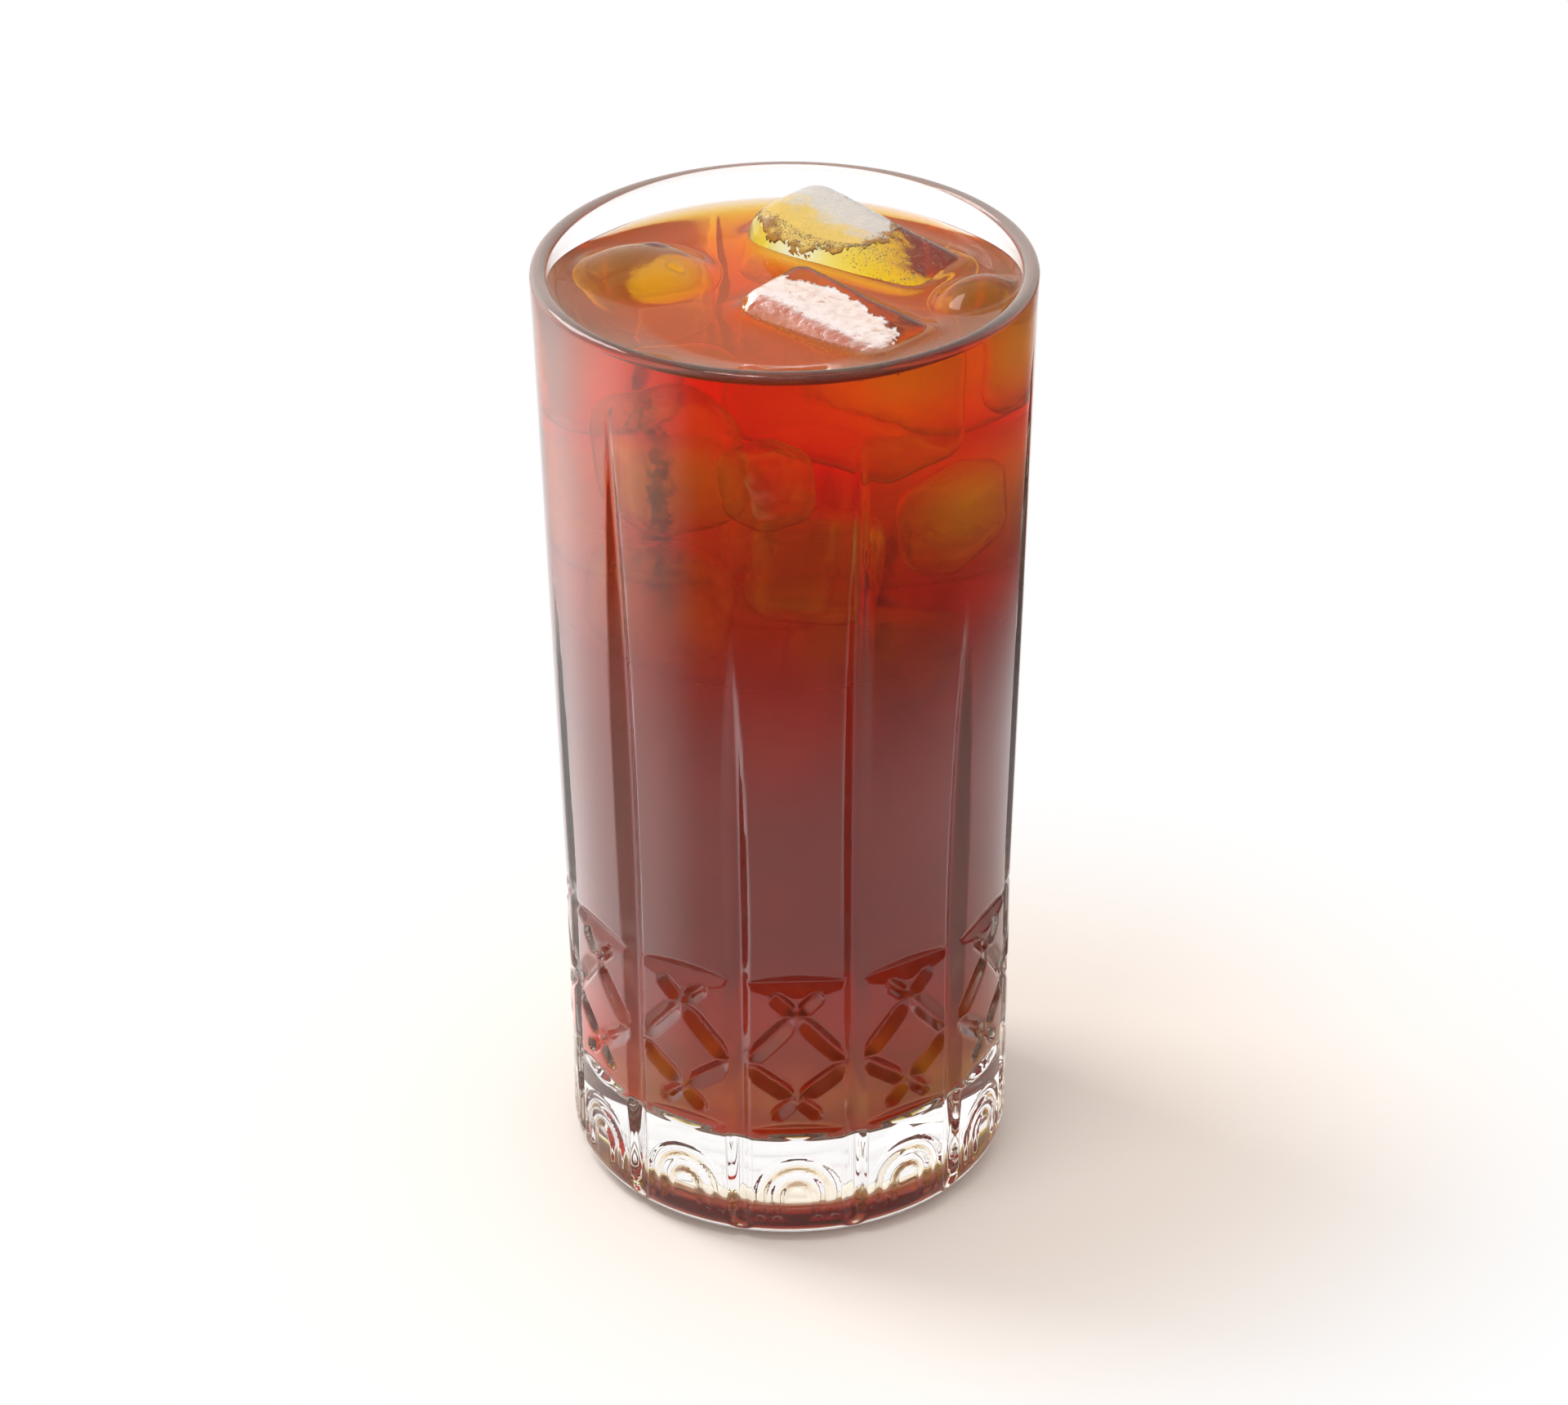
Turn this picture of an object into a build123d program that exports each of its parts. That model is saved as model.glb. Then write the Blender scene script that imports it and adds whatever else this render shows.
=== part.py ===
from build123d import *
import os
from math import cos, degrees, radians, sin, sqrt, tan

# Iced coffee in a tall cut-glass tumbler: the glass, the coffee and the four ice blocks that break its
# surface. All sizes in millimetres. The origin is the middle of the glass's foot, +Z is up.

# tumbler walls
glass_height = 150.0
rim_radius = 36.8
ring_radius = 34.45  # outer radius at the upper ring of cuts
foot_radius = 34.25
rim_wall = 2.4
ring_wall = 2.75  # thickness at the upper ring, beside the cuts
base_wall = 3.4  # thickness at the glass's floor
floor_height = 17.3  # top of the thick glass base
floor_fillet = 4.0
foot_round = 4.6
rim_round = 1.1
recess_radius = 25.0  # shallow hollow under the foot
recess_depth = 0.3

# upright grooves, every other one long
groove_pairs = 6
pattern_turn = 16.9  # from the front (-Y) to the nearest long groove
groove_depth = 1.35
groove_half_angle = 52.0
long_groove_drop = 11.0  # from the rim down to the groove's tip
short_groove_drop = 46.6

# lens-shaped cuts that ring the glass above and below the diamonds
upper_ring_height = 48.1
upper_ring_depth = 0.95
lower_ring_height = 21.3
lower_ring_depth = 0.7
ring_half_angle = 60.0

# leaf-shaped cuts that draw the diamonds
node_height = 33.2  # where four leaves meet on a groove
node_angle = 2.6  # from the groove's middle to the leaves' tips
upper_cross_height = 42.4
lower_cross_height = 27.2
leaf_depth = 0.62
leaf_half_width = 0.8
leaf_gap = 0.45  # rib left between the tips of two leaves
leaf_reach = 1.0  # how far a leaf's cutter goes on widening outside the wall
upper_tip_rise = 3.9  # short leaves beyond the upper crossing
lower_tip_drop = 3.7
short_leaf_half_width = 0.75

# drink
free_depth = 6.0  # from the rim down to the coffee
coffee_clearance = 0.15  # between the coffee and the glass

# ice blocks: (length, width, height), edge radius, centre over the coffee's level, (tilts, turn about Z)
ice_blocks = {
    "ice_back": ((35.0, 18.5, 22.0), 6.5, (10.9, 17.0, -7.4), (6.0, 7.0, -40.0)),
    "ice_front": ((28.5, 15.5, 20.0), 5.0, (7.4, -6.8, -8.2), (7.0, 2.0, -42.0)),
    "ice_left": ((20.0, 19.5, 23.0), 7.8, (-20.6, 8.8, -8.3), (4.0, -4.0, 24.0)),
    "ice_right": ((11.5, 11.0, 17.0), 4.8, (27.4, -1.6, -6.3), (5.0, 6.0, 10.0)),
}
ice_circle = 34.2  # inner radius of the glass that these blocks fit; other glasses get them in proportion
dish_radius = 26.0  # hollow melted into the top of each block
dish_depth = 0.8

groove_count = 2 * groove_pairs
panel_angle = 360.0 / groove_count
long_groove_start = pattern_turn - 90.0
short_groove_start = long_groove_start + panel_angle
panel_start = long_groove_start + panel_angle / 2
long_groove_top = glass_height - long_groove_drop
short_groove_top = glass_height - short_groove_drop
coffee_level = glass_height - free_depth
beyond = 3.0  # how far a cutter reaches past the wall


def outer_radius(height):
    """Radius of the uncut outer wall at a height."""
    if height < upper_ring_height:
        return foot_radius + (ring_radius - foot_radius) * height / upper_ring_height
    share = (height - upper_ring_height) / (glass_height - upper_ring_height)
    return ring_radius + (rim_radius - ring_radius) * share


def inner_radius(height):
    """Radius of the inner wall at a height."""
    if height < upper_ring_height:
        share = (height - floor_height) / (upper_ring_height - floor_height)
        return outer_radius(height) - base_wall + (base_wall - ring_wall) * share
    share = (height - upper_ring_height) / (glass_height - upper_ring_height)
    return outer_radius(height) - ring_wall + (ring_wall - rim_wall) * share


def on_wall(turn, height):
    """Point of the uncut outer wall, turned from the middle of a panel."""
    radius = outer_radius(height)
    return Vector(radius * cos(radians(turn)), radius * sin(radians(turn)), height)


def groove_cutter(top_height):
    """V-shaped bar: upright beside the diamonds, then leaning out until it leaves the wall at its top."""
    bottom_line = ring_radius - groove_depth
    lean = (outer_radius(top_height) - bottom_line) / (top_height - upper_ring_height)
    stations = [
        (-beyond, bottom_line),
        (upper_ring_height, bottom_line),
        (top_height + beyond, outer_radius(top_height) + lean * beyond),
    ]
    reach = max(rim_radius, ring_radius) + beyond - bottom_line
    half_width = reach * tan(radians(groove_half_angle))
    with BuildPart() as cutter:
        for height, line in stations:
            with BuildSketch(Plane.XY.offset(height)):
                with BuildLine():
                    Polyline((line, 0), (line + reach, half_width), (line + reach, -half_width), close=True)
                make_face()
        loft(ruled=True)
    return cutter.part


def ring_cutter(height, depth):
    """V-shaped bar laid straight across a panel, so that it cuts a pointed lens in the round wall."""
    line = outer_radius(height) - depth
    reach = depth + beyond
    half_height = reach * tan(radians(ring_half_angle))
    half_length = sqrt(outer_radius(height) ** 2 - line**2) + beyond
    with BuildPart() as cutter:
        with BuildSketch(Plane.XZ):
            with BuildLine():
                Polyline(
                    (line, height),
                    (line + reach, height + half_height),
                    (line + reach, height - half_height),
                    close=True,
                )
            make_face()
        extrude(amount=half_length, both=True)
    return cutter.part


def leaf_cutter(start, end, half_width):
    """Leaf from one point of the wall to another: sharp tips, and a V that is deepest halfway."""
    middle = (start + end) / 2
    outward = Vector(middle.X, middle.Y, 0).normalized()
    along = (end - start).normalized()
    outward = (outward - along * outward.dot(along)).normalized()
    bulge = outer_radius(middle.Z) - sqrt(middle.X**2 + middle.Y**2)
    width_out = half_width * (leaf_depth + leaf_reach) / leaf_depth
    across = Plane(origin=middle, x_dir=along.cross(outward), z_dir=along)
    with BuildPart() as cutter:
        with BuildSketch(across) as kite:
            with BuildLine():
                Polyline(
                    (0, leaf_depth - bulge),
                    (width_out, -bulge - leaf_reach),
                    (0, -bulge - beyond),
                    (-width_out, -bulge - leaf_reach),
                    close=True,
                )
            make_face()
        loft(sections=[Vertex(*start), kite.sketch.face(), Vertex(*end)], ruled=True)
    return cutter.part


def panel_leaves():
    """Right-hand leaves of one panel: long ones to the groove, short ones beyond each crossing."""
    edge_turn = panel_angle / 2 - node_angle
    gap_turn = degrees(leaf_gap / ring_radius)
    leaves = []
    for cross, tip in ((upper_cross_height, upper_tip_rise), (lower_cross_height, -lower_tip_drop)):
        step = leaf_gap if tip > 0 else -leaf_gap
        to_node = (on_wall(gap_turn, cross - step), on_wall(edge_turn, node_height + step))
        to_tip = (on_wall(gap_turn, cross + step), on_wall(edge_turn / 2, cross + tip))
        leaves.append(leaf_cutter(*to_node, leaf_half_width))
        leaves.append(leaf_cutter(*to_tip, short_leaf_half_width))
    return leaves


def cavity(top_height, clearance=0.0):
    """Round space inside the glass up to a height, kept clear of the glass's floor and wall."""
    bottom = floor_height + clearance
    corner = (inner_radius(floor_height) - clearance, bottom)
    with BuildPart() as space:
        with BuildSketch(Plane.XZ) as section:
            with BuildLine():
                Polyline(
                    (0, bottom),
                    corner,
                    (inner_radius(upper_ring_height) - clearance, upper_ring_height),
                    (inner_radius(top_height) - clearance, top_height),
                    (0, top_height),
                    close=True,
                )
            make_face()
            fillet(section.vertices().sort_by_distance(corner)[0], floor_fillet)
        revolve(axis=Axis.Z)
    return space.part


def ice_block(size, edge_radius, centre, turns):
    """Worn block of ice: rounded all over, with a shallow hollow melted into its top."""
    share = inner_radius(coffee_level) / ice_circle
    length, width, height = [share * side for side in size]
    place = Vector(0, 0, coffee_level) + share * Vector(*centre)
    with BuildPart(Plane(Location(place, turns))) as block:
        Box(length, width, height)
        fillet(block.edges(), share * edge_radius)
        with Locations((0, 0, height / 2 + dish_radius - dish_depth)):
            Sphere(dish_radius, mode=Mode.SUBTRACT)
    return block.part


# the glass
long_groove = groove_cutter(long_groove_top)
short_groove = groove_cutter(short_groove_top)
upper_ring_cut = ring_cutter(upper_ring_height, upper_ring_depth)
lower_ring_cut = ring_cutter(lower_ring_height, lower_ring_depth)
right_leaves = panel_leaves()
left_leaves = [mirror(leaf, about=Plane.XZ) for leaf in right_leaves]

with BuildPart() as tumbler:
    with BuildSketch(Plane.XZ) as outer_section:
        with BuildLine():
            Polyline(
                (0, recess_depth),
                (recess_radius - recess_depth, recess_depth),
                (recess_radius, 0),
                (foot_radius, 0),
                (ring_radius, upper_ring_height),
                (rim_radius, glass_height),
                (0, glass_height),
                close=True,
            )
        make_face()
        foot_corner = outer_section.vertices().sort_by_distance((foot_radius, 0))[0]
        fillet(foot_corner, foot_round)
    revolve(axis=Axis.Z)
    add(cavity(glass_height + beyond), mode=Mode.SUBTRACT)
    fillet(tumbler.edges().group_by(Axis.Z)[-1], rim_round)
    with PolarLocations(0, groove_pairs, start_angle=long_groove_start):
        add(long_groove, mode=Mode.SUBTRACT)
    with PolarLocations(0, groove_pairs, start_angle=short_groove_start):
        add(short_groove, mode=Mode.SUBTRACT)
    with PolarLocations(0, groove_count, start_angle=panel_start):
        add([upper_ring_cut, lower_ring_cut], mode=Mode.SUBTRACT)
        add([*right_leaves, *left_leaves], mode=Mode.SUBTRACT)

# the ice that stands out of the coffee
blocks = {name: ice_block(*sizes) for name, sizes in ice_blocks.items()}

# the coffee, up to its level and round the ice
with BuildPart() as coffee:
    add(cavity(coffee_level, coffee_clearance))
    add(list(blocks.values()), mode=Mode.SUBTRACT)

os.makedirs("parts", exist_ok=True)
tumbler.part.label = "tumbler"
export_step(tumbler.part, "parts/tumbler.step")
coffee.part.label = "coffee"
export_step(coffee.part, "parts/coffee.step")
for name, block in blocks.items():
    block.label = name
    export_step(block, f"parts/{name}.step")
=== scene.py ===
import math
import random

import bmesh
import bpy
import numpy as np
from mathutils import Matrix, Vector, noise
from mathutils.bvhtree import BVHTree


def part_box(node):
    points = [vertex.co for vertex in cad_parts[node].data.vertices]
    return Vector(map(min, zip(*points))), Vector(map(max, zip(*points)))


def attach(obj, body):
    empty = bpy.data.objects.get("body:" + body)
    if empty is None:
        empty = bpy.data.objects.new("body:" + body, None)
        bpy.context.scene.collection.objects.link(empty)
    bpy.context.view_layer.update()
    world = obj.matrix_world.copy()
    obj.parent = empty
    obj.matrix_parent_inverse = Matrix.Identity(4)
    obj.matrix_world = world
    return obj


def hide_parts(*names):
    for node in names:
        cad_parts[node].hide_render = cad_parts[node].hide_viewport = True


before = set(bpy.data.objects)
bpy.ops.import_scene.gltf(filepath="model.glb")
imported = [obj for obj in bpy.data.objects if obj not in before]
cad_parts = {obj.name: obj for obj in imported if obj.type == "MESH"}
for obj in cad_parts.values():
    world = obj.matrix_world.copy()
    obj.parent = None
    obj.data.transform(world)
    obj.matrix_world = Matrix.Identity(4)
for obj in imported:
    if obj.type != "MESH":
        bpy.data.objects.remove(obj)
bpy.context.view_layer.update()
random.seed(7)
mm = 0.001

# the camera looks down on the glass from the front; angles in degrees
cameraForm = {
    "place": (0.0, -602.892, 430.698),
    "down": 30.430,
    "turn": -0.0464,
    "roll": -0.3836,
    "lens": 105.63,
    "sensor": 36.0,
}


def addCamera(form):
    data = bpy.data.cameras.new("camera")
    data.lens = form["lens"]
    data.sensor_width = form["sensor"]
    camera = bpy.data.objects.new("camera", data)
    turned = Matrix.Rotation(math.radians(-form["turn"]), 4, "Z")
    tipped = Matrix.Rotation(math.radians(90 - form["down"]), 4, "X")
    rolled = Matrix.Rotation(math.radians(form["roll"]), 4, "Z")
    camera.matrix_world = Matrix.Translation(Vector(form["place"]) * mm) @ turned @ tipped @ rolled
    bpy.context.scene.collection.objects.link(camera)
    bpy.context.scene.camera = camera


# helpers for meshes; all sizes are in millimetres until they are written to a mesh

def addPiece(name, mesh, material, replaced=()):
    piece = bpy.data.objects.new(name, mesh)
    bpy.context.scene.collection.objects.link(piece)
    mesh.materials.append(material)
    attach(piece, "root")
    if replaced:
        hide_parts(*replaced)
    return piece


def readPoints(mesh):
    flat = np.empty(len(mesh.vertices) * 3)
    mesh.vertices.foreach_get("co", flat)
    return flat.reshape(-1, 3) / mm


def writePoints(mesh, points):
    mesh.vertices.foreach_set("co", (points * mm).ravel())
    mesh.update()


def meshFrom(name, bm):
    mesh = bpy.data.meshes.new(name)
    bm.to_mesh(mesh)
    bm.free()
    mesh.shade_smooth()
    return mesh


def smoothMax(a, b, width):
    near = np.clip(1 - np.abs(a - b) / width, 0, None)
    return np.maximum(a, b) + near * near * width / 4


def smoothStep(share):
    share = np.clip(share, 0, 1)
    return share * share * (3 - 2 * share)


def spunMesh(name, profile, columns, startAngle=0.0):
    bm = bmesh.new()
    turn = Matrix.Rotation(math.radians(startAngle), 3, "Z")
    corners = [bm.verts.new(turn @ Vector((r * mm, 0, z * mm))) for r, z in profile]
    edges = [bm.edges.new(pair) for pair in zip(corners, corners[1:])]
    bmesh.ops.spin(bm, geom=corners + edges, cent=(0, 0, 0), axis=(0, 0, 1), dvec=(0, 0, 0),
                   angle=math.tau, steps=columns, use_merge=True, use_duplicate=False)
    bmesh.ops.remove_doubles(bm, verts=bm.verts, dist=1e-7)
    bmesh.ops.recalc_face_normals(bm, faces=bm.faces)
    return meshFrom(name, bm)


def arcPoints(centre, radius, start, end, count):
    angles = [math.radians(start + (end - start) * i / count) for i in range(count + 1)]
    return [(centre[0] + radius * math.cos(a), centre[1] + radius * math.sin(a)) for a in angles]


def evenSteps(start, end, step):
    count = max(1, round(abs(end - start) / step))
    return [start + (end - start) * i / count for i in range(count + 1)]


def inMetres(sizes):
    return [size * mm for size in sizes]


# helpers for node trees; a source is another node's socket or a plain value

def nodeMaterial(name):
    material = bpy.data.materials.new(name)
    material.use_nodes = True
    return material, material.node_tree, material.node_tree.nodes["Principled BSDF"]


def feed(tree, socket, source):
    if isinstance(source, bpy.types.NodeSocket):
        tree.links.new(source, socket)
    else:
        socket.default_value = source


def setInputs(tree, node, sources):
    for name, source in sources.items():
        feed(tree, node.inputs[name], source)


def showSurface(tree, shader, output="Material Output"):
    tree.links.new(shader, tree.nodes[output].inputs["Surface"])


def objectCoords(tree):
    return tree.nodes.new("ShaderNodeTexCoord").outputs["Object"]


def mapped(tree, source, kind="POINT", place=(0, 0, 0), turn=(0, 0, 0), scale=(1, 1, 1)):
    node = tree.nodes.new("ShaderNodeMapping")
    node.vector_type = kind
    setInputs(tree, node, {"Vector": source, "Location": place, "Rotation": turn, "Scale": scale})
    return node.outputs["Vector"]


def vectorLength(tree, source):
    node = tree.nodes.new("ShaderNodeVectorMath")
    node.operation = "LENGTH"
    tree.links.new(source, node.inputs[0])
    return node.outputs["Value"]


def axesOf(tree, source):
    node = tree.nodes.new("ShaderNodeSeparateXYZ")
    tree.links.new(source, node.inputs["Vector"])
    return node.outputs["X"], node.outputs["Y"], node.outputs["Z"]


def calculated(tree, operation, *sources, clamp=False):
    node = tree.nodes.new("ShaderNodeMath")
    node.operation = operation
    node.use_clamp = clamp
    for socket, source in zip(node.inputs, sources):
        feed(tree, socket, source)
    return node.outputs["Value"]


def ramped(tree, source, start, end, low=0.0, high=1.0, kind="SMOOTHSTEP"):
    node = tree.nodes.new("ShaderNodeMapRange")
    node.interpolation_type = kind
    limits = {"From Min": start, "From Max": end, "To Min": low, "To Max": high}
    setInputs(tree, node, {"Value": source, **limits})
    return node.outputs["Result"]


def objectPattern(tree, scale, stretch=(1, 1, 1), detail=2.0):
    # the pattern is centred on the middle of the glass
    middle = (0, 0, -glassForm["height"] / 2 * mm)
    pattern = tree.nodes.new("ShaderNodeTexNoise")
    vector = mapped(tree, objectCoords(tree), place=middle, scale=stretch)
    setInputs(tree, pattern, {"Vector": vector, "Scale": scale, "Detail": detail})
    return pattern.outputs["Fac"]


def patternRange(tree, pattern, low, high):
    # the noise hardly leaves the stretch from 0.3 to 0.7
    return ramped(tree, pattern, 0.3, 0.7, low, high, "LINEAR")


def addBump(tree, shader, pattern, strength, height):
    bump = tree.nodes.new("ShaderNodeBump")
    setInputs(tree, bump, {"Height": pattern, "Strength": strength, "Distance": height * mm})
    tree.links.new(bump.outputs["Normal"], shader.inputs["Normal"])


def blend(tree, factor, first, second, kind="RGBA"):
    node = tree.nodes.new("ShaderNodeMix")
    node.data_type = kind
    sockets = (0, 6, 7) if kind == "RGBA" else (0, 2, 3)
    for number, source in zip(sockets, (factor, first, second)):
        feed(tree, node.inputs[number], source)
    return node.outputs[2 if kind == "RGBA" else 0]


def mixShaders(tree, factor, first, second):
    node = tree.nodes.new("ShaderNodeMixShader")
    for socket, source in zip(node.inputs, (factor, first, second)):
        tree.links.new(source, socket)
    return node.outputs["Shader"]


def diffuse(tree, color):
    node = tree.nodes.new("ShaderNodeBsdfDiffuse")
    feed(tree, node.inputs["Color"], color)
    return node.outputs["BSDF"]


# the tumbler: a spun wall, with the grooves, rings, leaves and arches cut from its outside

glassForm = {
    "height": 150.0,
    "ringHeight": 48.1,
    "outer": (34.25, 34.45, 36.77),  # radius at the foot, at the upper ring and at the rim
    "wall": (3.4, 2.75, 2.4),  # thickness at the glass's floor, at the upper ring and at the rim
    "floor": 17.3,
    "floorFillet": 2.0,
    "footRound": 4.6,
    "footLand": 1.5,  # the flat ring inside the foot's round edge
    "rimRound": 1.15,
    "arcSteps": (12, 8),  # at the foot, and at the rim and the floor's fillet
    "recess": (25.0, 0.3),  # radius and depth of the hollow under the foot
    "columns": 480,
    "footStep": 0.5,
    "rowStep": 0.38,
    "patternBand": (17.0, 51.5),
    "plainSteps": ((96.0, 4.5), (105.0, 1.5), (129.0, 4.0), (141.0, 1.5)),  # height reached and step
    "lastRow": 145.0,
    "innerRows": (147.5, 146, 144, 138, 120, 100, 80, 62, 48.1, 34, 26),
    "floorRings": (22, 16, 8, 0),
    "uncutUnder": 20.0,  # nothing is cut on the underside within this radius
    "analytic": (0.5, 5.5),  # the exact normals start above the foot's round and end under the rim
    "slopeSteps": (0.0012, 0.04),  # angle and height over which the cuts' slopes are measured
}
cutForm = {
    "panels": 12,
    "turn": 16.9 - 90.0,  # angle of a long groove
    "grooveLine": 32.9,  # radius of a groove's bottom
    "grooveAngle": 52.0,
    "grooveBlend": 0.6,
    "grooveHold": 1.9,  # how long a groove stays deep before it ends in a point
    "longTop": 143.5,
    "shortTop": 108.0,
    "rings": ((47.8, 1.2), (21.3, 0.85)),  # height and depth
    "ringAngle": 60.0,
    "nodeHeight": 33.2,
    "nodeAngle": 13.1,
    "crossings": ((42.4, 3.9, 1), (27.2, 3.7, -1)),  # height, reach of the short leaves, side
    "leafGap": 0.12,
    "leafDepth": 1.3,
    "leafHalfWidth": 1.75,
    "shortLeafHalfWidth": 1.4,
    "leafFullness": 5.0,
    "leafEnd": 0.2,  # share of its length over which a leaf is worked out past its ends
    "edgeBlend": 0.22,
    "lineBlend": 0.1,
    "uncut": -9.0,
}
archForm = {"low": 4.8, "middle": 8.8, "halfWidth": 5.8, "rise": 6.2, "rings": (1.0, 0.55),
            "depth": 0.3, "lineWidth": 1.1}


def outerRadius(z):
    return np.interp(z, (0, glassForm["ringHeight"], glassForm["height"]), glassForm["outer"])


def innerRadius(z):
    heights = (glassForm["floor"], glassForm["ringHeight"], glassForm["height"])
    return outerRadius(z) - np.interp(z, heights, glassForm["wall"])


def softAbs(value):
    return np.sqrt(value * value + cutForm["lineBlend"] ** 2) - cutForm["lineBlend"] * 0.4


def slopeOf(degrees):
    return 1 / math.tan(math.radians(degrees))


def grooveCuts(angle, z, bare):
    form = cutForm
    pitch = math.tau / form["panels"]
    turned = angle - math.radians(form["turn"])
    fromGroove = (turned + pitch / 2) % pitch - pitch / 2
    number = np.round(turned / pitch).astype(int)
    top = np.where(number % 2 == 0, form["longTop"], form["shortTop"])
    rise = np.clip((z - glassForm["ringHeight"]) / (top - glassForm["ringHeight"]), 0, None)
    rise = np.where(rise < 1, rise ** form["grooveHold"], 1 + (rise - 1) * form["grooveHold"])
    line = form["grooveLine"] + rise * (outerRadius(top) - form["grooveLine"])
    radius = outerRadius(z)
    across = np.sin(fromGroove) * radius
    rounded = np.sqrt(across ** 2 + form["grooveBlend"] ** 2) - form["grooveBlend"] * 0.5
    return bare - line / (np.cos(fromGroove) - rounded / radius * slopeOf(form["grooveAngle"]))


def leafCuts(across, z):
    # two crossings in each panel, whose long leaves meet at the nodes beside the grooves
    form = cutForm
    side = outerRadius(form["nodeHeight"]) * np.radians(form["nodeAngle"])
    gap = form["leafGap"]
    deepest = np.full_like(z, form["uncut"])
    across = np.abs(across)
    for height, reach, sign in form["crossings"]:
        ends = (
            ((gap, height - sign * gap), (side, form["nodeHeight"] + sign * gap), form["leafHalfWidth"]),
            ((gap, height + sign * gap), (side / 2, height + sign * reach), form["shortLeafHalfWidth"]),
        )
        for start, end, halfWidth in ends:
            run = np.hypot(end[0] - start[0], end[1] - start[1])
            ux, uz = (end[0] - start[0]) / run, (end[1] - start[1]) / run
            along = ((across - start[0]) * ux + (z - start[1]) * uz) / run
            off = (across - start[0]) * uz - (z - start[1]) * ux
            swell = 1 - np.abs(2 * along - 1) ** form["leafFullness"]
            cut = form["leafDepth"] * (swell - softAbs(off) / halfWidth)
            inReach = (along > -form["leafEnd"]) & (along < 1 + form["leafEnd"])
            deepest = np.maximum(deepest, np.where(inReach, cut, form["uncut"]))
    return deepest


def archCuts(across, z):
    # nested round-topped lines in the foot of each panel
    form = archForm
    up = np.clip(z - form["middle"], 0, None) / form["rise"]
    reach = np.hypot(across / form["halfWidth"], up)
    deepest = np.full_like(z, cutForm["uncut"])
    for ring in form["rings"]:
        off = np.abs(reach - ring) * form["halfWidth"] / form["lineWidth"]
        deepest = np.maximum(deepest, form["depth"] * (1 - off * off))
    return np.where(z > form["low"], deepest, cutForm["uncut"])


def cutRadius(angle, z, bare):
    form = cutForm
    pitch = math.tau / form["panels"]
    fromMiddle = (angle - math.radians(form["turn"])) % pitch - pitch / 2
    cuts = [grooveCuts(angle, z, bare)]
    for height, depth in form["rings"]:
        flat = outerRadius(height) - depth
        cuts.append(bare - (flat + softAbs(z - height) * slopeOf(form["ringAngle"])) / np.cos(fromMiddle))
    across = fromMiddle * outerRadius(z)
    cuts += [leafCuts(across, z), archCuts(across, z)]
    deepest = np.zeros_like(bare)
    for cut in cuts:
        deepest = smoothMax(deepest, cut, form["edgeBlend"])
    return bare - deepest


def tumblerProfile():
    form = glassForm
    footSteps, rimSteps = form["arcSteps"]
    recessRadius, recessDepth = form["recess"]
    foot, _, rim = form["outer"]
    footRound = form["footRound"]
    points = [(r, recessDepth) for r in (0, 8, 16, recessRadius - recessDepth)]
    points += [(recessRadius, 0), (foot - footRound - form["footLand"], 0)]
    points += arcPoints((foot - footRound, footRound), footRound, -90, 0, footSteps)
    low, high = form["patternBand"]
    heights = evenSteps(footRound, low, form["footStep"])[1:] + evenSteps(low, high, form["rowStep"])[1:]
    for reached, step in form["plainSteps"]:
        heights += evenSteps(heights[-1], reached, step)[1:]
    heights.append(form["lastRow"])
    points += [(float(outerRadius(z)), z) for z in heights]
    rimRound = form["rimRound"]
    top = form["height"] - rimRound
    points += arcPoints((rim - rimRound, top), rimRound, 0, 90, rimSteps)
    points += arcPoints((rim - form["wall"][2] + rimRound, top), rimRound, 90, 180, rimSteps)
    points += [(float(innerRadius(z)), z) for z in form["innerRows"]]
    floorRadius = float(innerRadius(form["floor"]))
    fillet = form["floorFillet"]
    points += arcPoints((floorRadius - fillet, form["floor"] + fillet), fillet, 0, -90, rimSteps)
    points += [(r, form["floor"]) for r in form["floorRings"]]
    return points


def exactNormals(angle, height):
    # worked out from the cuts themselves, so that their flats and edges stay crisp
    stepA, stepH = glassForm["slopeSteps"]

    def radiusAt(a, h):
        return cutRadius(a, h, outerRadius(h))

    here = radiusAt(angle, height)
    slopeA = (radiusAt(angle + stepA, height) - radiusAt(angle - stepA, height)) / (2 * stepA)
    slopeH = (radiusAt(angle, height + stepH) - radiusAt(angle, height - stepH)) / (2 * stepH)
    facing = np.stack([np.ones_like(here), -slopeA / here, -slopeH], 1)
    facing /= np.linalg.norm(facing, axis=1)[:, None]
    x = facing[:, 0] * np.cos(angle) - facing[:, 1] * np.sin(angle)
    y = facing[:, 0] * np.sin(angle) + facing[:, 1] * np.cos(angle)
    return np.stack([x, y, facing[:, 2]], 1)


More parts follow.
